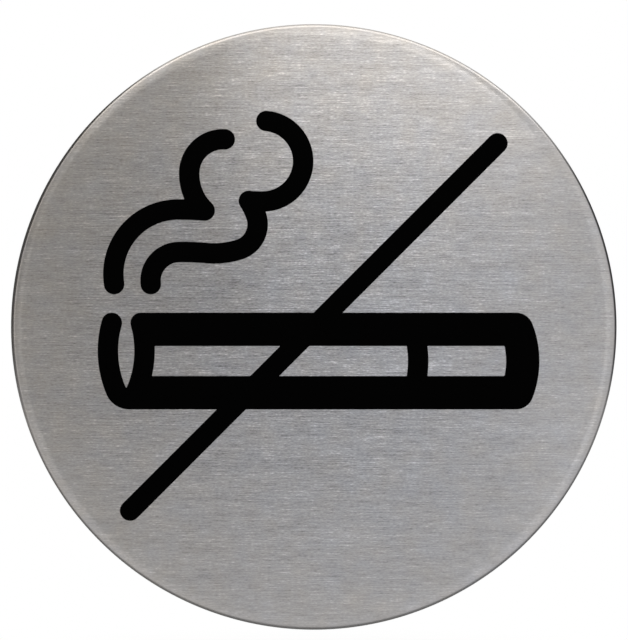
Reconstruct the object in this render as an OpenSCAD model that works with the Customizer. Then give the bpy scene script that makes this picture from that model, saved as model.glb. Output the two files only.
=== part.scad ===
// No smoking sign for a door or wall: a pressed disc of brushed steel with a printed figure on its
// face, held by a foam pad inside its skirt. It hangs upright, with its face towards -Y and the wall
// at Y = 0. The origin is the middle of the pad's back.

/* [Disc] */
// Diameter of the disc
disc_d = 83; // [76:1:100]
// Height of the disc, from its face to the cut edge of its skirt
disc_h = 2; // [1.6:0.1:4]
// Thickness of the sheet
sheet_t = 0.6; // [0.4:0.1:0.8]
// Width of the rim, from the edge of the flat face to the outside of the skirt
rim_w = 1.8; // [1.2:0.1:2.5]
// Radius of the soft roll where the face starts to fall away
roll_r = 5; // [3:0.5:8]
// Inside radius of the bend from the roll into the skirt
bend_r = 0.2; // [0.1:0.05:0.4]
// Chamfer that deburring leaves on the cut edge of the skirt
edge_break = 0.1; // [0.05:0.05:0.15]

/* [Adhesive pad] */
// How far the pad stands out behind the skirt, so that it meets the wall first
pad_proud = 0.2; // [0.1:0.1:0.6]
// Clearance between the edge of the pad and the start of the rim
pad_gap = 0.3; // [0.1:0.1:3]

/* [Print] */
// Thickness of the ink
ink_t = 0.05; // [0.02:0.01:0.1]
// Radius that the ink leaves in an inner corner
ink_fillet = 0.1; // [0.05:0.05:0.2]
// Width of the lines of the slash, the smoke, the filter and the burning end
line_w = 2.8; // [2:0.1:3.4]

/* [Slash] */
// Margin between an end of the slash and the outside of the disc
slash_margin = 4.65; // [3:0.05:8]
// Angle of the slash above the horizontal
slash_angle = 45; // [40:1:50]

/* [Cigarette] */
// Length of the cigarette
cigarette_l = 60.3; // [56:0.1:62]
// Height of the cigarette
cigarette_h = 13.2; // [12:0.1:14]
// Width of the dark walls along its top, its bottom and its filter end
wall_w = 4.55; // [4:0.05:5]
// How far the middle of the cigarette is right of the middle of the disc
cigarette_right = 0.65; // [-1:0.05:1]
// How far the middle of the cigarette is below the middle of the disc
cigarette_drop = 4.65; // [3:0.05:6]
// Radius of the bowed lines at both ends and at the filter
bow_r = 14; // [12:0.5:18]
// Rounding of the corners of the filter end
filter_corner_r = 2.4; // [1.5:0.1:3]
// Length of the filter, from the middle of its line to its tip
filter_l = 16.55; // [12:0.05:20]

/* [Burning end] */
// Distance between the two bowed lines of the burning end, middle to middle
burning_w = 5; // [4.4:0.1:5.4]
// Height of their widest place above the middle of the cigarette
burning_lift = 1.4; // [1:0.1:2]
// Radius of the left line where it turns into the bottom wall
burning_corner_r = 1.95; // [1.5:0.05:2.5]

/* [Smoke] */
// Gap between the cigarette and the smoke
smoke_gap = 2.5; // [1.5:0.1:3.5]
// How far each curl starts right of the line of the burning end below it
smoke_right = 0.85; // [0:0.05:1.5]

/* [Left curl of smoke] */
// Radius of its sweep up from the foot
left_sweep_r = 8.8; // [8:0.1:9.5]
// Radius as it flattens towards its corner
left_flat_r = 36.5; // [25:0.5:60]
// Radius of the stretch above the corner
left_neck_r = 6.9; // [6:0.1:8]
// Radius of its head
left_head_r = 4.6; // [4:0.1:5.2]

/* [Right curl of smoke] */
// Radius of the bend above its foot
right_foot_r = 3.9; // [3.4:0.1:4.4]
// Radius of the flat run
right_run_r = 37; // [25:0.5:60]
// Radius where the run starts to rise
right_rise_r = 11.5; // [9:0.5:14]
// Radius of the hook at the end of the run
right_hook_r = 3.6; // [3:0.1:4]
// Radius from the hook to the corner
right_back_r = 8.4; // [7:0.1:10]
// Radius of the stretch out of the corner
right_neck_r = 12; // [9:0.5:15]
// Radius of its head
right_head_r = 5.5; // [5:0.1:6]

/* [Hidden] */

// Largest turn between two points of a drawn line, in degrees
arc_step = 4;
// Segments round the end of a line, and round the disc
$fn = 48;
disc_fn = 180;

// Heights off the wall
face_z = pad_proud + disc_h;
inner_z = face_z - sheet_t;

// Section of the rim: the roll and the bend are tangent to each other
disc_r = disc_d / 2;
flat_r = disc_r - rim_w;
corner_r = bend_r + sheet_t;
roll_angle = asin((rim_w - corner_r) / (roll_r - corner_r));
roll_centre = [flat_r, face_z - roll_r];
corner_centre = roll_centre + (roll_r - corner_r) * [sin(roll_angle), cos(roll_angle)];

// Places on the figure, from the middle of the disc
tube_y = -cigarette_drop;
top_y = tube_y + cigarette_h / 2;
bottom_y = tube_y - cigarette_h / 2;
tip_x = cigarette_right + cigarette_l / 2;
filter_line_x = tip_x - filter_l;
burning_y = tube_y + burning_lift;
burning_left_x = cigarette_right - cigarette_l / 2 + line_w / 2;
burning_right_x = burning_left_x + burning_w;
burning_top_y = top_y - line_w / 2;
burning_bottom_y = bottom_y + line_w / 2;

// Curls of smoke as arcs of [radius, turn], where a turn to the left is above zero. A curl goes up
// from its foot to a corner, and on from there in a new heading.
left_lower_heading = 99;
left_lower_bends = [[left_sweep_r, -98], [left_flat_r, -6]];
left_upper_heading = 136;
left_upper_bends = [[left_neck_r, -50], [left_head_r, -89]];
right_lower_heading = 97;
right_lower_bends = [
    [right_foot_r, -96], [right_run_r, -6], [right_rise_r, 22], [right_hook_r, 91], [right_back_r, 16]
];
right_upper_heading = -7;
right_upper_bends = [[right_neck_r, 11], [right_head_r, 171]];

function reverse(list) = [for (i = [len(list) - 1:-1:0]) list[i]];

// Points along an arc, both ends included
function arc(centre, r, from, to) =
    let (n = ceil(abs(to - from) / arc_step))
    [for (i = [0:n]) let (a = from + (to - from) * i / n) centre + r * [cos(a), sin(a)]];

// Two rows of points that meet in one point, as one row
function joined(first, second) = concat(first, [for (i = [1:len(second) - 1]) second[i]]);

// Section of the roll and the bend, at a depth below the outside of the sheet
function rim_section(depth) = joined(
    arc(roll_centre, roll_r - depth, 90, 90 - roll_angle),
    arc(corner_centre, corner_r - depth, 90 - roll_angle, 0)
);

// Half of the disc's section, as [distance from the axis, height off the wall]
function disc_section() = concat(
    [[0, face_z]],
    rim_section(0),
    [[disc_r, pad_proud + edge_break], [disc_r - edge_break, pad_proud]],
    [[disc_r - sheet_t + edge_break, pad_proud], [disc_r - sheet_t, pad_proud + edge_break]],
    reverse(rim_section(sheet_t)),
    [[0, inner_z]]
);

// Place that a bend leads to, from a place and a heading
function bent(place, heading, r, turn) =
    place + sign(turn) * r * [sin(heading + turn) - sin(heading), cos(heading) - cos(heading + turn)];

// Path through a row of bends, as steps of [place, heading]
function path(place, heading, bends, i = 0) =
    i == len(bends) ? [[place, heading]] :
    let (r = bends[i][0], turn = bends[i][1], n = ceil(abs(turn) / arc_step))
    concat(
        [for (k = [0:n - 1]) [bent(place, heading, r, turn * k / n), heading + turn * k / n]],
        path(bent(place, heading, r, turn), heading + turn, bends, i + 1)
    );

function end_of(steps) = steps[len(steps) - 1][0];

// Points to the left of a path, at a distance from it
function beside(steps, distance) =
    [for (step = steps) step[0] + distance * [-sin(step[1]), cos(step[1])]];

// Bowed path from the top down, which is widest at [x, y]: to the right where side is 1, and to the
// left where it is -1. More bends can follow it.
function bow(x, y, high, low, side, more = []) =
    let (rise = asin((high - y) / bow_r), fall = asin((y - low) / bow_r))
    path([x - side * bow_r * (1 - cos(rise)), high], side * rise - 90,
        concat([[bow_r, -side * (rise + fall)]], more));

// Outline of the tube from start_x to the filter end, set in from the outside of the cigarette
function tube_outline(start_x, inset, corner) =
    let (
        r = bow_r - inset,
        half_h = cigarette_h / 2 - inset,
        a = asin((half_h - corner) / (r - corner)),
        centre = [tip_x - bow_r, tube_y],
        across = (r - corner) * [cos(a), 0],
        up = (r - corner) * [0, sin(a)]
    )
    concat(
        joined(
            joined(arc(centre + across + up, corner, 90, a), arc(centre, r, a, -a)),
            arc(centre + across - up, corner, -a, -90)
        ),
        [[start_x, tube_y - half_h], [start_x, tube_y + half_h]]
    );

// Line with round ends, drawn along a path
module stroke(steps) {
    polygon(concat(beside(steps, line_w / 2), reverse(beside(steps, -line_w / 2))));
    for (end = [steps[0][0], end_of(steps)])
        translate(end)
            circle(d = line_w);
}

// Curl of smoke above the line of the burning end at x
module curl(x, lower_heading, lower_bends, upper_heading, upper_bends) {
    foot = [x + smoke_right, top_y + smoke_gap + line_w / 2];
    lower = path(foot, lower_heading, lower_bends);
    stroke(lower);
    stroke(path(end_of(lower), upper_heading, upper_bends));
}

// Slash from lower left to upper right, through the middle of the disc
module slash() {
    reach = (disc_r - slash_margin - line_w / 2) * [cos(slash_angle), sin(slash_angle)];
    stroke([[-reach, slash_angle], [reach, slash_angle]]);
}

// Cigarette: a tube with two bowed lines at its burning end and one at its filter
module cigarette() {
    right_line = bow(burning_right_x, burning_y, burning_top_y, burning_bottom_y, 1);
    start_x = right_line[0][0][0];
    fall = asin((burning_y - burning_bottom_y - burning_corner_r) / (bow_r - burning_corner_r));
    left_line = bow(burning_left_x, burning_y, burning_top_y, burning_y - bow_r * sin(fall), -1,
        [[burning_corner_r, 90 - fall]]);
    difference() {
        polygon(tube_outline(start_x, 0, filter_corner_r));
        polygon(tube_outline(start_x - line_w / 2, wall_w, ink_fillet));
    }
    stroke(right_line);
    stroke(concat(left_line, [[[start_x, burning_bottom_y], 0]]));
    stroke(bow(filter_line_x, tube_y, top_y - wall_w / 2, bottom_y + wall_w / 2, 1));
}

// Stands up what was drawn lying on its back, with its face towards -Y
module upright() {
    rotate([90, 0, 0])
        children();
}

// Lays a flat figure on the face as a coat of ink
module printed() {
    color("black")
        upright()
            translate([0, 0, face_z])
                linear_extrude(ink_t)
                    offset(r = -ink_fillet)
                        offset(delta = ink_fillet)
                            children();
}

module steel_disc() {
    color("silver")
        upright()
            rotate_extrude($fn = disc_fn)
                polygon(disc_section());
}

module cigarette_print() {
    printed() {
        cigarette();
        slash();
    }
}

module left_smoke_print() {
    printed()
        curl(burning_left_x, left_lower_heading, left_lower_bends,
            left_upper_heading, left_upper_bends);
}

module right_smoke_print() {
    printed()
        curl(burning_right_x, right_lower_heading, right_lower_bends,
            right_upper_heading, right_upper_bends);
}

module adhesive_pad() {
    color("whitesmoke")
        upright()
            cylinder(r = flat_r - pad_gap, h = inner_z, $fn = disc_fn);
}

steel_disc();
cigarette_print();
left_smoke_print();
right_smoke_print();
adhesive_pad();
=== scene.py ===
"""No smoking sign: a pressed disc of brushed stainless steel, a printed figure and a foam pad.

Sizes are in millimetres, and turn into metres where a mesh, a lamp or the camera is placed. The
sign hangs upright in the part's own frame: its printed face looks towards -Y, up is +Z, and the
wall would be at Y = 0. The figure is drawn flat, x to the right and y up, from the middle of the
disc.
"""

import logging
import math
from dataclasses import dataclass
from enum import Enum

import bpy
import numpy as np
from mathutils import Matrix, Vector
from mathutils.geometry import delaunay_2d_cdt


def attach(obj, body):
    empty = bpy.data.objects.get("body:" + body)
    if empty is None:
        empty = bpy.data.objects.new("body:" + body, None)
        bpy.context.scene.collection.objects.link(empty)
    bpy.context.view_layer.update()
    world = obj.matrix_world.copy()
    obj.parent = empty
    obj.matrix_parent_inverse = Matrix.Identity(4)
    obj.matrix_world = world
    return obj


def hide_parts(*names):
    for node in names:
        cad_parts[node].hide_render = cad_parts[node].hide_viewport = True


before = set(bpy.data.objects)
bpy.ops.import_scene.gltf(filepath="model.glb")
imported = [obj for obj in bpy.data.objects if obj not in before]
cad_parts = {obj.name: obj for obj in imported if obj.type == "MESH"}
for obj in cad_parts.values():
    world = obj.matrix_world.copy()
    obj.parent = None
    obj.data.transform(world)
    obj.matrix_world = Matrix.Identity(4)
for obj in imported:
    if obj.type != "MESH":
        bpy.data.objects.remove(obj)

log = logging.getLogger("sign")
Tree = bpy.types.NodeTree
Socket = bpy.types.NodeSocket

MM = 0.001
BODY = "root"

# What the disc, the print and the camera share, in millimetres
DISC_RADIUS = 41.5
FACE_HEIGHT = 2.2

# The photograph's frame, and where the disc stands in it, in pixels
FRAME_WIDTH = 628
FRAME_HEIGHT = 640
DISC_MIDDLE_SEEN = (313.78, 326.94)
DISC_RADIUS_SEEN = 303.3


class Slot(Enum):
    """The record's material slots."""

    STEEL = "brushed_stainless_steel"
    INK = "black_ink"
    FOAM = "foam_pad"


class Side(Enum):
    """The two lines of the burning end, and the curls of smoke that stand above them."""

    LEFT = "left"
    RIGHT = "right"


# Colours, nodes and meshes


def linear(hex_colour: str) -> tuple[float, float, float, float]:
    """Turns a written sRGB colour into the linear one that the sockets take.

    Each channel c below 0.04045 is divided by 12.92, and any other becomes
    ((c + 0.055) / 1.055) to the power 2.4.

    Args:
        hex_colour: The colour as "#rrggbb".

    Returns:
        Red, green, blue and an alpha of 1.
    """
    c = np.array([int(hex_colour[i : i + 2], 16) for i in (1, 3, 5)]) / 255
    value = np.where(c <= 0.04045, c / 12.92, ((c + 0.055) / 1.055) ** 2.4)
    return (*value.tolist(), 1.0)


def add_node(tree: Tree, kind: str, settings: dict | None = None, inputs: dict | None = None
             ) -> bpy.types.Node:
    """Adds a node, sets it, and fills its sockets.

    Args:
        tree: The node tree that gets the node.
        kind: The node's type, such as "ShaderNodeMix".
        settings: The node's own properties by name.
        inputs: Socket name or number to a value, or to the output socket that feeds it.

    Returns:
        The new node.
    """
    node = tree.nodes.new(kind)
    for name, value in (settings or {}).items():
        setattr(node, name, value)
    for name, value in (inputs or {}).items():
        if isinstance(value, Socket):
            tree.links.new(value, node.inputs[name])
        else:
            node.inputs[name].default_value = value
    return node


def new_material(name: str) -> tuple[bpy.types.Material, Tree]:
    """Returns an empty material and its node tree."""
    material = bpy.data.materials.new(name)
    material.use_nodes = True
    material.node_tree.nodes.clear()
    return material, material.node_tree


def new_object(name: str, data: bpy.types.ID) -> bpy.types.Object:
    """Makes an object of a mesh, a lamp or a camera and links it to the scene."""
    made = bpy.data.objects.new(name, data)
    bpy.context.scene.collection.objects.link(made)
    return made


def new_piece(name: str, points: np.ndarray, faces: list[np.ndarray],
              materials: list[bpy.types.Material], material_of: list[np.ndarray] | None = None,
              sharp_from: float = 35.0) -> bpy.types.Object:
    """Makes a smooth-shaded object at the origin, with its place in its mesh.

    Args:
        name: The piece's name.
        points: Vertices in millimetres, (n, 3).
        faces: Arrays of vertex numbers, each with one count of corners: (k, 3) or (m, 4).
        materials: The piece's finishes.
        material_of: The number of each face's finish, in arrays that match faces.
        sharp_from: Edges whose faces meet at more than this many degrees stay sharp.

    Returns:
        The object, linked to the scene.
    """
    mesh = bpy.data.meshes.new(name)
    corners = np.concatenate([f.ravel() for f in faces])
    totals = np.concatenate([np.full(len(f), f.shape[1]) for f in faces])
    mesh.vertices.add(len(points))
    mesh.vertices.foreach_set("co", (points * MM).astype(np.float32).ravel())
    mesh.loops.add(len(corners))
    mesh.loops.foreach_set("vertex_index", corners.astype(np.int32))
    mesh.polygons.add(len(totals))
    mesh.polygons.foreach_set("loop_start", (np.cumsum(totals) - totals).astype(np.int32))
    for material in materials:
        mesh.materials.append(material)
    if material_of is not None:
        mesh.polygons.foreach_set("material_index", np.concatenate(material_of).astype(np.int32))
    mesh.update(calc_edges=True)
    mesh.validate()
    mesh.shade_smooth()
    mesh.set_sharp_from_angle(angle=math.radians(sharp_from))
    return new_object(name, mesh)


def hang(piece: bpy.types.Object, node: str) -> None:
    """Puts a finished piece on the sign's one body, in place of its CAD node.

    Args:
        piece: The finished piece.
        node: The CAD node that it stands for.
    """
    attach(piece, BODY)
    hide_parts(node)


def arc(centre: tuple[float, float], radius: float, start: float, end: float, step: float
        ) -> np.ndarray:
    """Points on an arc: the centre plus the radius times the cosine and sine of the angle.

    Args:
        centre: The arc's centre.
        radius: Its radius.
        start: The angle of its first point, in degrees.
        end: The angle of its last point, in degrees.
        step: The largest angle between two points, in degrees.

    Returns:
        The points, (n, 2), both ends included.
    """
    count = max(2, math.ceil(abs(end - start) / step) + 1)
    angle = np.radians(np.linspace(start, end, count))
    return np.array(centre) + radius * np.stack([np.cos(angle), np.sin(angle)], axis=1)


def turned(name: str, profile: np.ndarray, turns: int, materials: list[bpy.types.Material],
           second_from: int) -> bpy.types.Object:
    """Turns a profile round the sign's axis into a piece with two finishes.

    A profile point (r, h) at the angle t becomes (r cos t, -h, r sin t). The first and the last
    point lie on the axis, and each becomes one pole with a fan of triangles round it.

    Args:
        name: The piece's name.
        profile: Distances from the axis and heights off the wall, (n, 2).
        turns: Points round the axis.
        materials: The first and the second finish.
        second_from: The number of the profile point where the second finish starts.

    Returns:
        The object, with its vertices ring by ring and the two poles last.
    """
    angle = np.linspace(0, 2 * np.pi, turns, endpoint=False)
    r, h = profile[1:-1, 0, None], profile[1:-1, 1, None]
    grid = np.stack([r * np.cos(angle), np.repeat(-h, turns, axis=1), r * np.sin(angle)], axis=2)
    poles = np.array([[0, -profile[0, 1], 0], [0, -profile[-1, 1], 0]])
    number = np.arange(len(grid) * turns).reshape(len(grid), turns)
    beside = np.roll(number, -1, axis=1)
    quads = np.stack([number[:-1], number[1:], beside[1:], beside[:-1]], axis=2).reshape(-1, 4)
    first = np.stack([np.full(turns, number.size), number[0], beside[0]], axis=1)
    last = np.stack([np.full(turns, number.size + 1), beside[-1], number[-1]], axis=1)
    ring = 1 + np.arange(len(quads)) // turns
    return new_piece(name, np.concatenate([grid.reshape(-1, 3), poles]), [quads, first, last],
                     materials, [(ring >= second_from).astype(int), np.repeat([0, 1], turns)])


# The flat figure


@dataclass(frozen=True)
class Line:
    """A drawn line, as a row of places and the heading at each, in degrees from +x.

    Attributes:
        places: The places, (n, 2).
        headings: The heading at each place.
        step: The largest turn between two places.
        cap_step: The turn between two outline points of a round end.
    """

    places: np.ndarray
    headings: np.ndarray
    step: float = 1.5
    cap_step: float = 5.625

    @classmethod
    def start(cls, x: float, y: float, heading: float) -> "Line":
        """Sets the pen down at one place."""
        return cls(np.array([[x, y]], float), np.array([heading], float))

    @property
    def end(self) -> np.ndarray:
        """The place that the line has come to."""
        return self.places[-1]

    def bend(self, radius: float, turn: float) -> "Line":
        """Goes on along an arc, to the left where turn is above zero.

        A heading h0 that turns to h on the radius r moves the pen by
        r (sin h - sin h0, cos h0 - cos h), with the sign of the turn.

        Args:
            radius: The arc's radius.
            turn: How far the heading turns, in degrees.

        Returns:
            The longer line.
        """
        count = max(1, math.ceil(abs(turn) / self.step))
        heading = self.headings[-1] + turn * np.arange(1, count + 1) / count
        h0, h = np.radians(self.headings[-1]), np.radians(heading)
        moved = math.copysign(radius, turn) * np.stack(
            [np.sin(h) - np.sin(h0), np.cos(h0) - np.cos(h)], axis=1)
        return Line(np.concatenate([self.places, self.end + moved]),
                    np.concatenate([self.headings, heading]))

    def bends(self, arcs: tuple[tuple[float, float], ...]) -> "Line":
        """Goes on along a row of arcs, each given by its radius and its turn."""
        line = self
        for radius, turn in arcs:
            line = line.bend(radius, turn)
        return line

    def ahead(self, length: float) -> "Line":
        """Goes straight on for a length."""
        h = math.radians(self.headings[-1])
        there = self.end + length * np.array([math.cos(h), math.sin(h)])
        return Line(np.vstack([self.places, there]), np.append(self.headings, self.headings[-1]))

    def outline(self, width: float, round_start: bool = True) -> np.ndarray:
        """Outline of the line as a pen of one width draws it, with round ends.

        Each outline point is a place plus half the width at an angle: a quarter turn left of the
        heading on the way out, a quarter turn right of it on the way back, and all the angles
        between them at both ends.

        Args:
            width: The width of the pen.
            round_start: False for a line that starts inside another's round end.

        Returns:
            The closed outline, (n, 2).
        """
        cap = np.arange(90, -90, -self.cap_step)[1:]
        first = cap if round_start else cap[:0]
        centres = np.concatenate([self.places, np.repeat(self.places[-1:], len(cap), 0),
                                  self.places[::-1], np.repeat(self.places[:1], len(first), 0)])
        angles = np.radians(np.concatenate([self.headings + 90, self.headings[-1] + cap,
                                            self.headings[::-1] - 90,
                                            self.headings[0] - 180 + first]))
        return centres + width / 2 * np.stack([np.cos(angles), np.sin(angles)], axis=1)


def cut_up(loops: list[np.ndarray]) -> tuple[list, np.ndarray, list, list]:
    """Cuts the plane inside some closed loops into triangles, along all their crossings.

    A loop's area is half the sum of x1 y2 - x2 y1 over its edges. A loop whose area is below zero
    runs clockwise and is handed over backwards, because the inside has to lie on its left.

    Args:
        loops: Closed loops, which may cross.

    Returns:
        The places of the corners, the triangles, the loops' vertices that lie at each place, and
        the loops that cover each triangle.
    """
    starts = np.cumsum([0, *(len(loop) for loop in loops)])
    rings = []
    for first, loop in zip(starts, loops):
        after = np.roll(loop, -1, axis=0)
        area = (loop[:, 0] * after[:, 1] - after[:, 0] * loop[:, 1]).sum() / 2
        rings.append((first + np.arange(len(loop))[:: 1 if area > 0 else -1]).tolist())
    flat = [Vector(p) for p in np.concatenate(loops)]
    only_inside, same_place = 1, 1e-7
    places, _, triangles, sources, _, covers = delaunay_2d_cdt(
        flat, [], rings, only_inside, same_place, True)
    return places, np.array(triangles), sources, covers


def painted(outlines: list[np.ndarray], inks: list[bool]) -> list[np.ndarray]:
    """Edge of what is left when closed outlines are painted one over the other.

    The outlines are cut into triangles along all their crossings, and a triangle has ink if the
    last outline that covers it has. An edge that only one inked triangle owns is on the border.

    Args:
        outlines: Closed outlines, in the order of painting.
        inks: Whether each one lays ink down (True) or takes it away (False).

    Returns:
        The closed border loops, each with the ink on its left.
    """
    places, triangles, _, covers = cut_up(outlines)
    corner = triangles[[bool(cover) and inks[max(cover)] for cover in covers]]
    edges = np.concatenate([corner[:, [0, 1]], corner[:, [1, 2]], corner[:, [2, 0]]])
    size = len(places)
    border = edges[~np.isin(edges[:, 0] * size + edges[:, 1], edges[:, 1] * size + edges[:, 0])]
    return [np.array([places[i] for i in ring]) for ring in in_order(border)]


def in_order(edges: np.ndarray) -> list[np.ndarray]:
    """Sorts the directed edges of some closed loops into rows of points.

    Each point first learns the lowest point of its loop, by looking twice as far ahead in every
    round, and then its distance behind that point in the same way. Both sort the points.

    Args:
        edges: Pairs of vertex numbers, where each vertex has one edge out and one edge in.

    Returns:
        One array of vertex numbers for each loop.
    """
    vertices, ends = np.unique(edges[:, 0]), np.zeros(len(edges), int)
    ends[np.searchsorted(vertices, edges[:, 0])] = np.searchsorted(vertices, edges[:, 1])
    rounds = math.ceil(math.log2(len(vertices))) + 1
    hop, lowest = ends.copy(), np.arange(len(vertices))
    for _ in range(rounds):
        lowest = np.minimum(lowest, lowest[hop])
        hop = hop[hop]
    stop = lowest == np.arange(len(vertices))
    hop, ahead = np.where(stop, np.arange(len(vertices)), ends), np.where(stop, 0, 1)
    for _ in range(rounds):
        ahead = ahead + ahead[hop]
        hop = hop[hop]
    order = np.lexsort((-ahead, lowest))
    return np.split(vertices[order], np.flatnonzero(np.diff(lowest[order])) + 1)


def softened(loop: np.ndarray, step: float, blur: float) -> np.ndarray:
    """Spaces a closed loop evenly and rounds its corners a little, as ink does.

    The loop is measured along its length and cut at even steps. Its waves are then faded by
    exp(-(k s)^2 / 2), where k is a wave's angular frequency and s the blur.

    Args:
        loop: The closed loop, (n, 2).
        step: Distance between two new points.
        blur: How far along the loop a corner is smoothed.

    Returns:
        The new loop, (m, 2).
    """
    closed = np.vstack([loop, loop[:1]])
    along = np.append(0, np.cumsum(np.hypot(*np.diff(closed, axis=0).T)))
    count = math.ceil(along[-1] / step)
    even = np.linspace(0, along[-1], count, endpoint=False)
    x, y = (np.interp(even, along, closed[:, axis]) for axis in (0, 1))
    frequency = 2 * np.pi * np.fft.fftfreq(count, along[-1] / count)
    smooth = np.fft.ifft(np.fft.fft(x + 1j * y) * np.exp(-((frequency * blur) ** 2) / 2))
    return np.stack([smooth.real, smooth.imag], axis=1)


def filled(loops: list[np.ndarray]) -> np.ndarray:
    """Triangles that fill the area between closed loops.

    Args:
        loops: Closed loops, where a loop inside another is the edge of a hole.

    Returns:
        Vertex numbers, (n, 3), counted through all the loops in turn.
    """
    _, triangles, sources, covers = cut_up(loops)
    keep = [len(cover) % 2 == 1 for cover in covers]
    return np.array([source[0] for source in sources])[triangles[keep]]


# Finishes


@dataclass(frozen=True)
class Marks:
    """One layer of brush marks.

    Attributes:
        width: How wide a mark is, in millimetres.
        length: How long it is.
        detail: How many finer layers the noise adds to it.
        share: Its share of the pattern.
    """

    width: float
    length: float
    detail: float
    share: float


@dataclass(frozen=True)
class Fade:
    """A value that changes smoothly with the distance from a place on the flat blank.

    Attributes:
        place: The place, as millimetres up and to the right of the blank's middle.
        start: The distance up to which the value is the first one.
        end: The distance from which it is the last one.
        first: The first value.
        last: The last value.
    """

    place: tuple[float, float]
    start: float
    end: float
    first: float
    last: float

    def value(self, tree: Tree, blank: Socket) -> Socket:
        """Adds the nodes that work the value out from a place on the blank."""
        away = add_node(tree, "ShaderNodeVectorMath", {"operation": "DISTANCE"},
                        {0: blank, 1: (*self.place, 0.0)})
        return add_node(tree, "ShaderNodeMapRange", {"interpolation_type": "SMOOTHSTEP"}, {
            "Value": away.outputs["Value"], "From Min": self.start, "From Max": self.end,
            "To Min": self.first, "To Max": self.last}).outputs[0]


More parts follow.
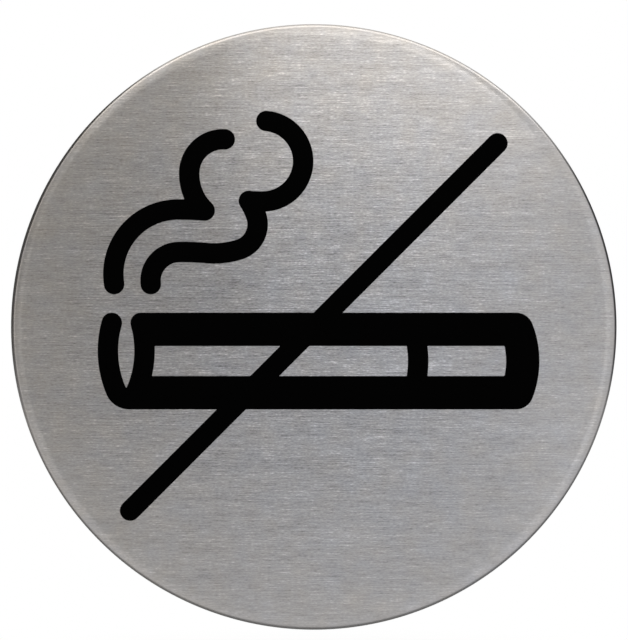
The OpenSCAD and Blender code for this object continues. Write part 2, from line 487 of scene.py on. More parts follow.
@dataclass(frozen=True)
class BrushedSteel:
    """Stainless steel sheet, brushed along one direction with an abrasive belt.

    The belt leaves short dashes, scratches a few millimetres long and faint bands, all running
    across the sign. They scatter light up and down far more than sideways, so a lamp fans out into
    a tall soft glow. Most marks differ little from the sheet, and only the deepest are much darker
    or lighter. Real ones are a few hundredths of a millimetre wide, too fine to show, so the
    finest are drawn a tenth wide. The sheet also has faint warm and cool patches.

    Attributes:
        tones: Colour of a mark from the darkest, at 0, through the sheet, at 0.5, to the lightest.
        polish: How much smoother the lightest mark is than the darkest.
        shift: How far each layer's pattern is moved from the one before, so that none line up.
        contrast: How strongly the marks show: most a little above and left of the middle.
        kept: What pressing the rim leaves of the marks.
        patch: Width of a warm or cool patch, in millimetres.
        warmth: How warm the sheet is, which is least a little right of its middle.
    """

    tones: tuple[tuple[float, str], ...] = ((0.0, "#525252"), (0.38, "#9f9f9f"), (0.5, "#a9a9a9"),
                                            (0.62, "#b4b4b4"), (1.0, "#ffffff"))
    warm: str = "#fff6eb"
    cool: str = "#f8f9ff"
    roughness: float = 0.3
    polish: float = 0.1
    anisotropy: float = 0.8
    relief: float = 0.004
    marks: tuple[Marks, ...] = (Marks(0.11, 0.45, 3.0, 0.35), Marks(0.14, 2.2, 2.0, 0.32),
                                Marks(0.18, 14.0, 2.0, 0.17), Marks(1.6, 9.0, 2.0, 0.1),
                                Marks(2.6, 60.0, 2.0, 0.06))
    shift: tuple[float, float] = (31.7, 17.3)
    contrast: Fade = Fade((5.4, -2.4), 0.0, 70.0, 2.72, 1.0)
    kept: Fade = Fade((0.0, 0.0), 40.4, 41.5, 1.0, 0.2)
    patch: float = 4.0
    patch_share: float = 0.8
    warmth: Fade = Fade((-8.0, 10.0), 0.0, 121.0, -0.3, 1.32)

    def brush(self, tree: Tree, blank: Socket) -> Socket:
        """Adds up the layers of marks, each a noise drawn out along the brushing.

        Every noise counts by its share, less half its share, so that the sheet lies at zero.

        Args:
            tree: The material's node tree.
            blank: Place on the flat blank.

        Returns:
            The marks, from about -0.5 for the darkest to 0.5 for the lightest.
        """
        total = -0.5 * sum(mark.share for mark in self.marks)
        for number, mark in enumerate(self.marks):
            place = add_node(tree, "ShaderNodeMapping", None, {
                "Vector": blank, "Scale": (1 / mark.width, 1 / mark.length, 1),
                "Location": (self.shift[0] * number, self.shift[1] * number, 0)})
            noise = add_node(tree, "ShaderNodeTexNoise", {"noise_dimensions": "2D"}, {
                "Vector": place.outputs[0], "Scale": 1.0, "Detail": mark.detail,
                "Roughness": 0.62})
            total = add_node(tree, "ShaderNodeMath", {"operation": "MULTIPLY_ADD"}, {
                0: noise.outputs["Fac"], 1: mark.share, 2: total}).outputs[0]
        return add_node(tree, "ShaderNodeMath", {"operation": "MULTIPLY"},
                        {0: total, 1: self.kept.value(tree, blank)}).outputs[0]

    def colour(self, tree: Tree, blank: Socket, marks: Socket) -> Socket:
        """Colours the marks by their tones, and tints them by the patches.

        Args:
            tree: The material's node tree.
            blank: Place on the flat blank.
            marks: The marks.

        Returns:
            The colour: a mark's tone, times a mix of cool and warm.
        """
        tone = add_node(tree, "ShaderNodeMath", {"operation": "MULTIPLY_ADD"},
                        {0: marks, 1: self.contrast.value(tree, blank), 2: 0.5})
        ramp = add_node(tree, "ShaderNodeValToRGB", None, {"Fac": tone.outputs[0]})
        stops = ramp.color_ramp.elements
        stops[0].color, stops[1].color = linear(self.tones[0][1]), linear(self.tones[-1][1])
        for position, tone_colour in self.tones[1:-1]:
            stops.new(position).color = linear(tone_colour)
        patches = add_node(tree, "ShaderNodeTexNoise", {"noise_dimensions": "2D"}, {
            "Vector": blank, "Scale": 1 / self.patch, "Detail": 5.0, "Roughness": 0.6})
        warmth = add_node(tree, "ShaderNodeMath", {
            "operation": "MULTIPLY_ADD", "use_clamp": True}, {
            0: patches.outputs["Fac"], 1: self.patch_share, 2: self.warmth.value(tree, blank)})
        tint = add_node(tree, "ShaderNodeMix", {"data_type": "RGBA"}, {
            0: warmth.outputs[0], 6: linear(self.cool), 7: linear(self.warm)})
        return add_node(tree, "ShaderNodeMix", {"data_type": "RGBA", "blend_type": "MULTIPLY"}, {
            0: 1.0, 6: ramp.outputs["Color"], 7: tint.outputs[2]}).outputs[2]

    def material(self, blank_map: str) -> bpy.types.Material:
        """Builds the finish.

        Args:
            blank_map: Name of the map that holds, in millimetres, each point's place on the flat
                blank: across the brushing first, then along it.

        Returns:
            The material.
        """
        material, tree = new_material("brushed_stainless_steel")
        blank = add_node(tree, "ShaderNodeUVMap", {"uv_map": blank_map}).outputs["UV"]
        marks = self.brush(tree, blank)
        rough = add_node(tree, "ShaderNodeMath", {"operation": "MULTIPLY_ADD"},
                         {0: marks, 1: -self.polish, 2: self.roughness})
        bump = add_node(tree, "ShaderNodeBump", None, {
            "Height": marks, "Strength": 0.5, "Distance": self.relief * MM})
        across_marks = add_node(tree, "ShaderNodeTangent",
                                {"direction_type": "UV_MAP", "uv_map": blank_map})
        shader = add_node(tree, "ShaderNodeBsdfPrincipled", None, {
            "Base Color": self.colour(tree, blank, marks), "Metallic": 1.0,
            "Roughness": rough.outputs[0], "Anisotropic": self.anisotropy,
            "Tangent": across_marks.outputs[0], "Normal": bump.outputs[0]})
        add_node(tree, "ShaderNodeOutputMaterial", None, {"Surface": shader.outputs[0]})
        return material


@dataclass(frozen=True)
class PatternedFinish:
    """A finish whose colour, relief and roughness follow a pattern of values from 0 to 1.

    Attributes:
        name: The material's name.
        colours: Colours where the pattern is 0 and where it is 1.
        roughness: Roughness where the part of the pattern that sets it is 0 and where it is 1.
        relief: How much the pattern's relief counts, and how high it is in millimetres.
        grain: Width of the pattern's grains or cells, in millimetres.
        layers: How many finer layers its noise adds.
        layer_share: How much each layer counts beside the one before.
        metallic: 1 for a metal.
        specular: Strength of the mirrored light, which is 0.5 as a rule.
        ior: Index of refraction.
        sunk: Whether high values of the pattern are dents.
    """

    name: str
    colours: tuple[str, str]
    roughness: tuple[float, float]
    relief: tuple[float, float]
    grain: float
    layers: float = 3.0
    layer_share: float = 0.6
    metallic: float = 0.0
    specular: float = 0.5
    ior: float = 1.5
    sunk: bool = False

    def pattern(self, tree: Tree, place: Socket) -> tuple[Socket, Socket]:
        """Adds the pattern, which is a noise unless a finish has its own.

        Args:
            tree: The material's node tree.
            place: Place on the piece.

        Returns:
            The pattern, and the part of it that sets the roughness.
        """
        noise = add_node(tree, "ShaderNodeTexNoise", None, {
            "Vector": place, "Scale": 1 / (self.grain * MM), "Detail": self.layers,
            "Roughness": self.layer_share})
        return noise.outputs["Fac"], noise.outputs["Fac"]

    def material(self) -> bpy.types.Material:
        """Builds the finish."""
        material, tree = new_material(self.name)
        place = add_node(tree, "ShaderNodeTexCoord").outputs["Object"]
        pattern, dullness = self.pattern(tree, place)
        colour = add_node(tree, "ShaderNodeMix", {"data_type": "RGBA"}, {
            0: pattern, 6: linear(self.colours[0]), 7: linear(self.colours[1])})
        rough = add_node(tree, "ShaderNodeMapRange", None, {
            "Value": dullness, "To Min": self.roughness[0], "To Max": self.roughness[1]})
        bump = add_node(tree, "ShaderNodeBump", {"invert": self.sunk}, {
            "Height": pattern, "Strength": self.relief[0], "Distance": self.relief[1] * MM})
        shader = add_node(tree, "ShaderNodeBsdfPrincipled", None, {
            "Base Color": colour.outputs[2], "Metallic": self.metallic,
            "Roughness": rough.outputs[0], "Specular IOR Level": self.specular,
            "IOR": self.ior, "Normal": bump.outputs[0]})
        add_node(tree, "ShaderNodeOutputMaterial", None, {"Surface": shader.outputs[0]})
        return material


@dataclass(frozen=True)
class MillSteel(PatternedFinish):
    """The same sheet's unbrushed side and its cut edge, as the rolling mill and the press leave it.

    Skin-passed sheet is dull and even, with a faint mottle a few tenths of a millimetre wide.
    """

    name: str = "mill_stainless_steel"
    colours: tuple[str, str] = ("#959491", "#a6a5a2")
    roughness: tuple[float, float] = (0.32, 0.44)
    relief: tuple[float, float] = (0.5, 0.002)
    grain: float = 0.4
    metallic: float = 1.0


@dataclass(frozen=True)
class ScreenInk(PatternedFinish):
    """Matt black enamel ink, screen-printed and stoved.

    It swallows nearly all light. The mesh of the screen and the flow of the ink leave a grain
    about a sixth of a millimetre wide that only shows in a glancing light.
    """

    name: str = "matt_black_screen_ink"
    colours: tuple[str, str] = ("#010101", "#020202")
    roughness: tuple[float, float] = (0.47, 0.63)
    relief: tuple[float, float] = (0.6, 0.002)
    grain: float = 0.17
    layers: float = 2.0
    layer_share: float = 0.5
    specular: float = 0.005


@dataclass(frozen=True)
class ClosedCellFoam(PatternedFinish):
    """White polyethylene foam, die-cut from a sheet.

    Its closed cells, a third of a millimetre wide, make it dull and finely pitted. Their
    pits are painted darker than the cell walls, as painted shade.

    Attributes:
        slope: How far from its edge a cell is at full depth, as a share of its width.
    """

    name: str = "closed_cell_foam"
    # Pale at the cell walls and darker at full depth: the darker colour is painted shade in the
    # dents.
    colours: tuple[str, str] = ("#e6e4db", "#cfccc0")
    roughness: tuple[float, float] = (0.8, 0.8)
    relief: tuple[float, float] = (0.7, 0.05)
    grain: float = 0.33
    specular: float = 0.3
    sunk: bool = True
    slope: float = 0.25

    def pattern(self, tree: Tree, place: Socket) -> tuple[Socket, Socket]:
        """Adds the cells, from 0 at their edges to 1 at full depth."""
        edges = add_node(tree, "ShaderNodeTexVoronoi", {"feature": "DISTANCE_TO_EDGE"}, {
            "Vector": place, "Scale": 1 / (self.grain * MM), "Randomness": 0.9})
        cells = add_node(tree, "ShaderNodeMapRange", {"interpolation_type": "SMOOTHSTEP"}, {
            "Value": edges.outputs["Distance"], "From Max": self.slope})
        return cells.outputs[0], cells.outputs[0]


@dataclass(frozen=True)
class AdhesiveFilm(PatternedFinish):
    """Clear acrylic adhesive coated on the foam: a wet-looking skin over the cells.

    Attributes:
        show_through: How much the foam's cells show in it.
        ripple: Width of the ripples that the coating left, in millimetres.
    """

    name: str = "acrylic_adhesive_film"
    colours: tuple[str, str] = ("#dedbd0", "#cdc9bb")
    roughness: tuple[float, float] = (0.12, 0.32)
    relief: tuple[float, float] = (0.4, 0.03)
    grain: float = 0.33
    ior: float = 1.47
    show_through: float = 0.5
    ripple: float = 6.0

    def pattern(self, tree: Tree, place: Socket) -> tuple[Socket, Socket]:
        """Adds the ripples, which set the roughness, and the cells that show through them."""
        cells = add_node(tree, "ShaderNodeTexVoronoi", {"feature": "SMOOTH_F1"}, {
            "Vector": place, "Scale": 1 / (self.grain * MM), "Smoothness": 0.6})
        ripples = add_node(tree, "ShaderNodeTexNoise", None, {
            "Vector": place, "Scale": 1 / (self.ripple * MM), "Detail": self.layers})
        skin = add_node(tree, "ShaderNodeMath", {"operation": "MULTIPLY_ADD"}, {
            0: cells.outputs["Distance"], 1: self.show_through, 2: ripples.outputs["Fac"]})
        return skin.outputs[0], ripples.outputs["Fac"]


# The sign's own pieces


@dataclass(frozen=True)
class SteelDisc:
    """The pressed disc: a flat face, a soft roll into the bend of the rim, and a short skirt."""

    radius: float = DISC_RADIUS
    face_height: float = FACE_HEIGHT
    sheet: float = 0.6
    rim_width: float = 1.8
    roll_radius: float = 5.0
    bend_radius: float = 0.2
    skirt_foot: float = 0.2
    edge_radius: float = 0.1
    face_rows: tuple[float, ...] = (0.0, 8.0, 18.0, 28.0, 36.0)
    turns: int = 360
    blank_map: str = "blank"

    @property
    def flat_radius(self) -> float:
        """Radius of the flat part of the face."""
        return self.radius - self.rim_width

    def rim(self, depth: float) -> np.ndarray:
        """Roll and bend of the rim, as two arcs that are tangent to each other.

        The roll turns by the angle whose sine is (rim width - c) / (roll radius - c), where c is
        the outside radius of the bend, and the bend turns the rest of the way to straight down.

        Args:
            depth: Distance below the outside of the sheet.

        Returns:
            Distances from the axis and heights off the wall, from the face to the skirt.
        """
        corner = self.bend_radius + self.sheet
        lean = math.degrees(math.asin((self.rim_width - corner) / (self.roll_radius - corner)))
        roll = (self.flat_radius, self.face_height - self.roll_radius)
        bend = (roll[0] + (self.roll_radius - corner) * math.sin(math.radians(lean)),
                roll[1] + (self.roll_radius - corner) * math.cos(math.radians(lean)))
        return np.concatenate([arc(roll, self.roll_radius - depth, 90, 90 - lean, step=1)[:-1],
                               arc(bend, corner - depth, 90 - lean, 0, step=4)])

    def profile(self) -> tuple[np.ndarray, int]:
        """Half section of the disc, from the middle of the face round to the middle of the back.

        Returns:
            Distances from the axis and heights off the wall, and the number of the point where
            the cut edge starts.
        """
        flat = np.array([[r, self.face_height] for r in self.face_rows])
        foot = self.skirt_foot + self.edge_radius
        outside = self.radius - self.edge_radius
        inside = self.radius - self.sheet + self.edge_radius
        outer = np.concatenate([flat, self.rim(0)])
        edge = np.concatenate([arc((outside, foot), self.edge_radius, 0, -90, step=15),
                               arc((inside, foot), self.edge_radius, -90, -180, step=15)])
        inner = np.concatenate([self.rim(self.sheet)[::-1], flat[::-1] - [0, self.sheet]])
        return np.concatenate([outer, edge, inner]), len(outer)

    def lay_blank(self, mesh: bpy.types.Mesh, profile: np.ndarray) -> None:
        """Gives each point its place on the flat blank that the disc was pressed from.

        A profile point's distance from the middle of the blank is its way along the profile, from
        the middle of the face, or past the cut edge to the middle of the back. The map holds that
        distance times the sine and the cosine of the angle round the axis.

        Args:
            mesh: The disc's mesh, with its vertices in the order that turned() gives.
            profile: The profile that it was turned from.
        """
        along = np.append(0, np.cumsum(np.hypot(*np.diff(profile, axis=0).T)))
        distance = np.minimum(along, along[-1] - along)
        angle = np.linspace(0, 2 * np.pi, self.turns, endpoint=False)
        ring = distance[1:-1, None]
        places = np.stack([ring * np.sin(angle), ring * np.cos(angle)], axis=2).reshape(-1, 2)
        places = np.concatenate([places, np.zeros((2, 2))])
        corners = np.empty(len(mesh.loops), np.int32)
        mesh.loops.foreach_get("vertex_index", corners)
        blank = mesh.uv_layers.new(name=self.blank_map)
        blank.data.foreach_set("uv", places[corners].astype(np.float32).ravel())

    def build(self, brushed: BrushedSteel, mill: MillSteel) -> bpy.types.Object:
        """Turns the disc and dresses it.

        Args:
            brushed: The finish of the face, the rim and the skirt.
            mill: The finish of the cut edge and the hidden side.

        Returns:
            The finished piece.
        """
        profile, edge_start = self.profile()
        piece = turned("steel_disc_pressed", profile, self.turns,
                       [brushed.material(self.blank_map), mill.material()], edge_start)
        self.lay_blank(piece.data, profile)
        hang(piece, "steel_disc")
        return piece


@dataclass(frozen=True)
class Print:
    """How ink lies on the face: a thin coat whose edges round off."""

    face_height: float = FACE_HEIGHT
    thickness: float = 0.05
    edge_round: float = 0.05
    edge_rows: int = 5
    corner_blur: float = 0.05
    step: float = 0.09

    def lay(self, name: str, loops: list[np.ndarray], ink: ScreenInk, node: str
            ) -> bpy.types.Object:
        """Carries the edge of the coat round each loop of a flat shape and fills its top and back.

        The edge is a quarter of an ellipse: at the angle a it stands edge_round (1 - cos a) inside
        the loop and thickness times sin a above the face.

        Args:
            name: The piece's name.
            loops: The shape's border, with the ink on the left of each loop.
            ink: The finish.
            node: The CAD node that the piece stands for.

        Returns:
            The finished piece.
        """
        loops = [softened(loop, self.step, self.corner_blur) for loop in loops]
        angle = np.radians(np.linspace(0, 90, self.edge_rows))
        inset, height = self.edge_round * (1 - np.cos(angle)), self.thickness * np.sin(angle)
        points, quads, bases, offset = [], [], [], 0
        for loop in loops:
            way = np.roll(loop, -1, axis=0) - np.roll(loop, 1, axis=0)
            way /= np.hypot(way[:, 0], way[:, 1])[:, None]
            inward = np.stack([-way[:, 1], way[:, 0]], axis=1)
            flat = loop + inset[:, None, None] * inward
            high = np.broadcast_to(height[:, None], flat.shape[:2])
            points.append(np.stack([flat[..., 0], -self.face_height - high, flat[..., 1]], axis=2))
            number = offset + np.arange(high.size).reshape(high.shape)
            beside = np.roll(number, -1, axis=1)
            quads.append(np.stack([number[:-1], beside[:-1], beside[1:], number[1:]], axis=2))
            bases.append(number)
            offset += high.size
        top = filled(loops)
        caps = [np.concatenate([n[-1] for n in bases])[top],
                np.concatenate([n[0] for n in bases])[top[:, ::-1]]]
        piece = new_piece(name, np.concatenate([p.reshape(-1, 3) for p in points]),
                          [np.concatenate([q.reshape(-1, 4) for q in quads]), *caps],
                          [ink.material()], sharp_from=50.0)
        hang(piece, node)
        return piece


@dataclass(frozen=True)
class Curl:
    """A curl of smoke, which rises to a corner and goes on from it in a new heading.

    Attributes:
        heading: Its heading at the foot, in degrees from +x.
        arcs: Radius and turn of each arc up to the corner.
        upper_heading: Its heading after the corner.
        upper_arcs: Radius and turn of each arc from there on.
    """

    heading: float
    arcs: tuple[tuple[float, float], ...]
    upper_heading: float
    upper_arcs: tuple[tuple[float, float], ...]


@dataclass(frozen=True)
class Figure:
    """The printed figure: a lit cigarette, two curls of smoke, and the slash across it."""

    line: float = 2.8
    disc_radius: float = DISC_RADIUS
    slash_margin: float = 4.65
    slash_angle: float = 45.0
    length: float = 60.3
    height: float = 13.2
    wall: float = 4.55
    window_corner: float = 0.1
    right: float = 0.65
    drop: float = 4.65
    bow: float = 14.0
    filter_corner: float = 2.4
    filter_length: float = 16.55
    burning_width: float = 5.0
    burning_lift: float = 1.4
    burning_corner: float = 1.95
    smoke_gap: float = 2.5
    smoke_right: float = 0.85
    left_curl: Curl = Curl(99, ((8.8, -98), (36.5, -6)), 136, ((6.9, -50), (4.6, -89)))
    right_curl: Curl = Curl(97, ((3.9, -96), (37, -6), (11.5, 22), (3.6, 91), (8.4, 16)),
                            -7, ((12, 11), (5.5, 171)))

    @property
    def top(self) -> float:
        """Height of the cigarette's upper edge."""
        return self.height / 2 - self.drop

    @property
    def bottom(self) -> float:
        """Height of its lower edge."""
        return -self.height / 2 - self.drop

    @property
    def tip(self) -> float:
        """Place of the filter's end."""
        return self.right + self.length / 2

    def burning_x(self, side: Side) -> float:
        """Place of the left or the right line of the burning end at its widest."""
        left = self.right - self.length / 2 + self.line / 2
        return left + (self.burning_width if side is Side.RIGHT else 0)

    def bowed(self, x: float, y: float, high: float, low: float, bulge: int) -> Line:
        """Bowed line from the top down.

        It lies on a circle of the radius bow, is widest at (x, y), and starts where that circle
        reaches the height high: asin((high - y) / bow) above its widest place.

        Args:
            x: Its widest place.
            y: The height of that place.
            high: Where it starts.
            low: Where it ends.
            bulge: 1 if it bulges to the right, -1 if it bulges to the left.

        Returns:
            The line.
        """
        rise = math.degrees(math.asin((high - y) / self.bow))
        fall = math.degrees(math.asin((y - low) / self.bow))
        start = x - bulge * self.bow * (1 - math.cos(math.radians(rise)))
        return Line.start(start, high, bulge * rise - 90).bend(self.bow, -bulge * (rise + fall))

    def tube(self, start: float, inset: float, corner: float) -> np.ndarray:
        """Outline of the tube from its burning end to its bowed filter end.

        Args:
            start: Where it starts on the left.
            inset: How far it lies inside the outside of the cigarette.
            corner: Radius of the two corners of the filter end.

        Returns:
            The closed outline.
        """
        radius, half = self.bow - inset, self.height / 2 - inset
        sweep = math.degrees(math.asin((half - corner) / (radius - corner)))
        straight = self.tip - self.bow + (radius - corner) * math.cos(math.radians(sweep)) - start
        end = ((corner, sweep - 90), (radius, -2 * sweep), (corner, sweep - 90))
        upper = Line.start(start, half - self.drop, 0).ahead(straight)
        return upper.bends(end).ahead(straight).places

    def cigarette(self) -> list[np.ndarray]:
        """Border of the cigarette together with the slash, which cross each other."""
        lift = self.burning_lift - self.drop
        high, low = self.top - self.line / 2, self.bottom + self.line / 2
        right = self.bowed(self.burning_x(Side.RIGHT), lift, high, low, 1)
        start = right.places[0, 0]
        share = (lift - low - self.burning_corner) / (self.bow - self.burning_corner)
        left = self.bowed(self.burning_x(Side.LEFT), lift, high, lift - self.bow * share, -1)
        left = left.bend(self.burning_corner, 90 - math.degrees(math.asin(share)))
        left = left.ahead(start - left.end[0])
        band = self.bowed(self.tip - self.filter_length, -self.drop, self.top - self.wall / 2,
                          self.bottom + self.wall / 2, 1)
        reach = self.disc_radius - self.slash_margin - self.line / 2
        turn = math.radians(self.slash_angle)
        slash = Line.start(-reach * math.cos(turn), -reach * math.sin(turn), self.slash_angle)
        drawn = [line.outline(self.line) for line in (right, left, band, slash.ahead(2 * reach))]
        window = self.tube(start - self.line / 2, self.wall, self.window_corner)
        return painted([self.tube(start, 0, self.filter_corner), window, *drawn],
                       [True, False] + [True] * len(drawn))

    def smoke(self, side: Side) -> list[np.ndarray]:
        """Border of one curl of smoke.

        Args:
            side: The line of the burning end that it stands above.

        Returns:
            The border loops.
        """
        curl = self.left_curl if side is Side.LEFT else self.right_curl
        foot = Line.start(self.burning_x(side) + self.smoke_right,
                          self.top + self.smoke_gap + self.line / 2, curl.heading)
        lower = foot.bends(curl.arcs)
        upper = Line.start(*lower.end, curl.upper_heading).bends(curl.upper_arcs)
        return painted([lower.outline(self.line), upper.outline(self.line, round_start=False)],
                       [True, True])

    def build(self, coat: Print, ink: ScreenInk) -> list[bpy.types.Object]:
        """Prints the three islands of the figure.

        Args:
            coat: How the ink lies.
            ink: Its finish.

        Returns:
            The finished pieces.
        """
        return [
            coat.lay("cigarette_and_slash_ink", self.cigarette(), ink, "cigarette_print"),
            coat.lay("left_smoke_ink", self.smoke(Side.LEFT), ink, "left_smoke_print"),
            coat.lay("right_smoke_ink", self.smoke(Side.RIGHT), ink, "right_smoke_print"),
        ]


@dataclass(frozen=True)
class AdhesivePad:
    """The foam disc in the skirt: sticky on both sides, with a die-cut edge that dips a little."""

    radius: float = 39.4
    thickness: float = 1.6
    corner: float = 0.12
    dip: float = 0.12
    flat_rows: tuple[float, ...] = (0.0, 12.0, 26.0)
    side_rows: int = 9
    turns: int = 360

    def build(self, foam: ClosedCellFoam, film: AdhesiveFilm) -> bpy.types.Object:
        """Turns the pad and dresses it.

        The edge dips in by dip times the sine of half a turn from its back to its front, as foam
        does where the cutting die squeezed it.

        Args:
            foam: The finish of the edge and of the side under the steel.
            film: The finish of the back, which meets the wall.

        Returns:
            The finished piece.
        """
        low, high = self.corner, self.thickness - self.corner
        ring = self.radius - self.corner
        share = np.linspace(0, 1, self.side_rows + 2)[1:-1]
        side = np.stack([self.radius - self.dip * np.sin(np.pi * share),
                         high + (low - high) * share], axis=1)
        edge = np.concatenate([arc((ring, high), self.corner, 90, 0, step=15), side,
                               arc((ring, low), self.corner, 0, -90, step=15)])
        flat = np.array([[r, 0.0] for r in self.flat_rows])
        profile = np.concatenate([flat + [0, self.thickness], edge, flat[::-1]])
        piece = turned("adhesive_foam_pad", profile, self.turns,
                       [foam.material(), film.material()], len(flat) + len(edge) - 1)
        hang(piece, "adhesive_pad")
        return piece


# The studio


@dataclass(frozen=True)
class Lamp:
    """A soft rectangular lamp. At a brightness of 1 it would look as white as the surround."""

    name: str
    place: tuple[float, float, float]
    size: tuple[float, float]
    brightness: float
    colour: str = "#ffffff"


class Spread(Enum):
    """The directions of a card's width and height."""

    ACROSS = ((1, 0, 0), (0, 0, 1))
    ALONG = ((0, 1, 0), (0, 0, 1))
    LEVEL = ((1, 0, 0), (0, 1, 0))


@dataclass(frozen=True)
class Card:
    """A grey card round the set, which shows only as a reflection in the steel."""

    name: str
    spread: Spread
    middle: tuple[float, float, float]
    size: tuple[float, float]
    colour: str


@dataclass(frozen=True)
class Studio:
    """A pale floor, soft lamps, grey cards, an even white surround, and the camera."""

    lens: float = 85.0
    film: float = 36.0
    aim_height: float = 1.7
    floor_drop: float = 75.0
    floor_radius: float = 900.0
    floor_fade: tuple[float, float] = (70.0, 170.0)
    floor_colour: str = "#efefed"
    ambient: float = 0.8
    lamps: tuple[Lamp, ...] = (
        Lamp("softbox_above", (5, -66, 216), (450, 95), 2.95, "#fffdfa"),
        Lamp("lamp_over_camera", (25, -195, 102), (98, 87), 2.4),
        Lamp("strip_over_camera", (60, -205, 78), (80, 30), 0.22),
        Lamp("lamp_left", (-75, -195, 102), (90, 87), 0.67),
        Lamp("lamp_right", (135, -175, 92), (60, 60), 0.3),
        Lamp("lamp_far_left", (-120, -195, 10), (60, 60), 0.43),
        Lamp("low_lamp_left", (-95, -195, -48), (80, 40), 0.15),
        Lamp("low_lamp_middle", (0, -195, -56), (90, 26), 0.28),
        Lamp("low_lamp_right", (95, -195, -48), (80, 40), 0.76),
    )
    cards: tuple[Card, ...] = (
        Card("dark_room_behind_camera", Spread.ACROSS, (-200, -705, 70), (800, 480), "#040404"),
        Card("grey_card_behind_camera", Spread.ACROSS, (125, -700, 35), (160, 220), "#939393"),
        Card("dark_card_left", Spread.ALONG, (-300, 170, 60), (760, 720), "#595959"),
        Card("pale_card_right", Spread.ALONG, (300, -90, -80), (90, 590), "#cacaca"),
        Card("dark_card_right", Spread.ALONG, (300, 252, -80), (594, 590), "#303030"),
        Card("grey_card_under_sign", Spread.LEVEL, (0, 80, -70), (400, 200), "#8e8e8e"),
        Card("white_card_before_sign", Spread.LEVEL, (0, -130, -70), (400, 220), "#ffffff"),
    )

    def light_world(self) -> None:
        """Surrounds the set with white where it is seen, and lights it evenly."""
        world = bpy.data.worlds.new("studio_surround")
        world.use_nodes = True
        tree = world.node_tree
        tree.nodes.clear()
        rays = add_node(tree, "ShaderNodeLightPath")
        seen = add_node(tree, "ShaderNodeMath", {"operation": "ADD"},
                        {0: rays.outputs["Is Camera Ray"], 1: rays.outputs["Is Glossy Ray"]})
        seen = add_node(tree, "ShaderNodeMath", {"operation": "ADD", "use_clamp": True},
                        {0: seen.outputs[0], 1: rays.outputs["Is Transmission Ray"]})
        even = add_node(tree, "ShaderNodeBackground", None,
                        {"Color": linear("#ffffff"), "Strength": self.ambient})
        white = add_node(tree, "ShaderNodeBackground", None,
                         {"Color": linear("#ffffff"), "Strength": 1.0})
        mixed = add_node(tree, "ShaderNodeMixShader", None,
                         {0: seen.outputs[0], 1: even.outputs[0], 2: white.outputs[0]})
        add_node(tree, "ShaderNodeOutputWorld", None, {"Surface": mixed.outputs[0]})
        bpy.context.scene.world = world

    def lay_floor(self) -> None:
        """Lays a pale round floor that fades to the white of the surround away from the sign."""
        material, tree = new_material("pale_studio_paper")
        place = add_node(tree, "ShaderNodeTexCoord").outputs["Object"]
        flat = add_node(tree, "ShaderNodeVectorMath", {"operation": "MULTIPLY"},
                        {0: place, 1: (1, 1, 0)})
        far = add_node(tree, "ShaderNodeVectorMath", {"operation": "LENGTH"}, {0: flat.outputs[0]})
        fade = add_node(tree, "ShaderNodeMapRange", {"interpolation_type": "SMOOTHSTEP"}, {
            "Value": far.outputs["Value"], "From Min": self.floor_fade[0] * MM,
            "From Max": self.floor_fade[1] * MM})
        rays = add_node(tree, "ShaderNodeLightPath")
        direct = add_node(tree, "ShaderNodeMath", {"operation": "SUBTRACT"},
                          {0: 1.0, 1: rays.outputs["Is Diffuse Ray"]})
        share = add_node(tree, "ShaderNodeMath", {"operation": "MULTIPLY"},
                         {0: fade.outputs[0], 1: direct.outputs[0]})
        paper = add_node(tree, "ShaderNodeBsdfDiffuse", None, {"Color": linear(self.floor_colour)})
        white = add_node(tree, "ShaderNodeEmission", None, {"Strength": 1.0})
        mixed = add_node(tree, "ShaderNodeMixShader", None,
                         {0: share.outputs[0], 1: paper.outputs[0], 2: white.outputs[0]})
        add_node(tree, "ShaderNodeOutputMaterial", None, {"Surface": mixed.outputs[0]})
        rim = arc((0, 0), self.floor_radius, 0, 360, step=5)[:-1]
        points = np.column_stack([rim, np.full(len(rim), -self.floor_drop)])
        floor = new_piece("studio_floor", points, [np.arange(len(rim))[None]], [material])

    def hang_lamps(self) -> None:
        """Hangs the lamps and turns them towards the middle of the sign.

        A lamp's power is its brightness times pi times its area.
        """
        for lamp in self.lamps:
            light = bpy.data.lights.new(lamp.name, "AREA")
            light.shape = "RECTANGLE"
            light.size, light.size_y = lamp.size[0] * MM, lamp.size[1] * MM
            light.energy = lamp.brightness * math.pi * light.size * light.size_y
            light.color = linear(lamp.colour)[:3]
            holder = new_object(lamp.name, light)
            holder.location = Vector(lamp.place) * MM
            holder.rotation_euler = (-holder.location).to_track_quat("-Z", "Y").to_euler()
            log.info("%s: %.3f W", lamp.name, light.energy)

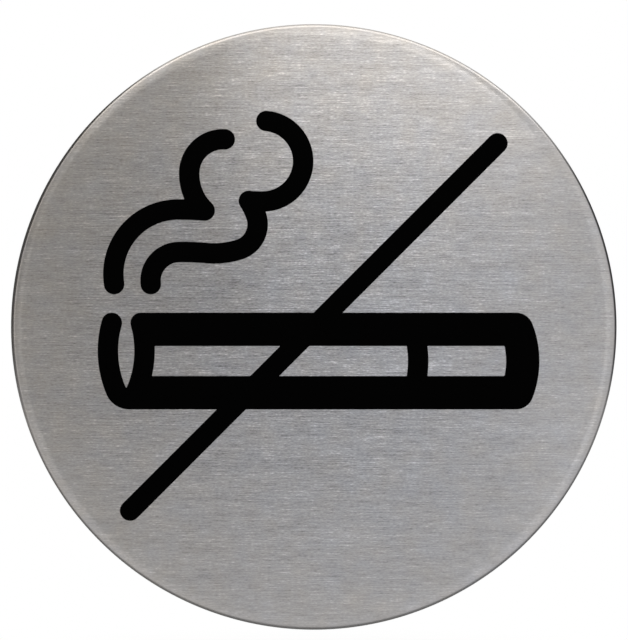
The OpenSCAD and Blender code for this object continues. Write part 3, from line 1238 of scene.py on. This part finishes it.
    def stand_cards(self) -> None:
        """Puts the grey cards round the sign, where only reflections see them."""
        for card in self.cards:
            material, tree = new_material(card.name)
            tone = add_node(tree, "ShaderNodeEmission", None, {"Color": linear(card.colour)})
            add_node(tree, "ShaderNodeOutputMaterial", None, {"Surface": tone.outputs[0]})
            half, rise = np.array(card.spread.value) * np.array(card.size)[:, None] / 2
            points = card.middle + np.array([-half - rise, half - rise, half + rise, rise - half])
            piece = new_piece(card.name, points, [np.array([[0, 1, 2, 3]])], [material])
            piece.visible_camera = piece.visible_diffuse = piece.visible_shadow = False
            piece.visible_transmission = False

    def set_camera(self) -> None:
        """Points a long lens straight at the face, so that the disc fills the photograph's frame.

        The frame's long side, its height, spans the film. A field of that height is lens / film
        times as far away as it is high. It lies at the aim height, halfway between the face and
        the widest ring of the rim, so that neither is off by more than half a pixel.
        """
        scale = DISC_RADIUS / DISC_RADIUS_SEEN
        camera = bpy.data.cameras.new("camera")
        camera.lens, camera.sensor_width = self.lens, self.film
        holder = new_object("camera", camera)
        right = (FRAME_WIDTH / 2 - DISC_MIDDLE_SEEN[0]) * scale
        up = (DISC_MIDDLE_SEEN[1] - FRAME_HEIGHT / 2) * scale
        distance = FRAME_HEIGHT * scale * self.lens / self.film
        holder.location = Vector((right, -distance - self.aim_height, up)) * MM
        holder.rotation_euler = (math.pi / 2, 0, 0)
        bpy.context.scene.camera = holder

    def build(self) -> None:
        """Sets up everything round the sign."""
        self.light_world()
        self.lay_floor()
        self.hang_lamps()
        self.stand_cards()
        self.set_camera()
        bpy.context.scene.view_settings.view_transform = "Standard"


def main() -> None:
    """Builds the sign and its studio."""
    logging.basicConfig(level=logging.INFO, format="%(name)s: %(message)s")
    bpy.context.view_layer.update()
    Studio().build()
    pieces = [SteelDisc().build(BrushedSteel(), MillSteel()),
              *Figure().build(Print(), ScreenInk()),
              AdhesivePad().build(ClosedCellFoam(), AdhesiveFilm())]
    for piece in pieces:
        log.info("%s: %d vertices, %d faces", piece.name, len(piece.data.vertices),
                 len(piece.data.polygons))


if __name__ == "__main__":
    main()
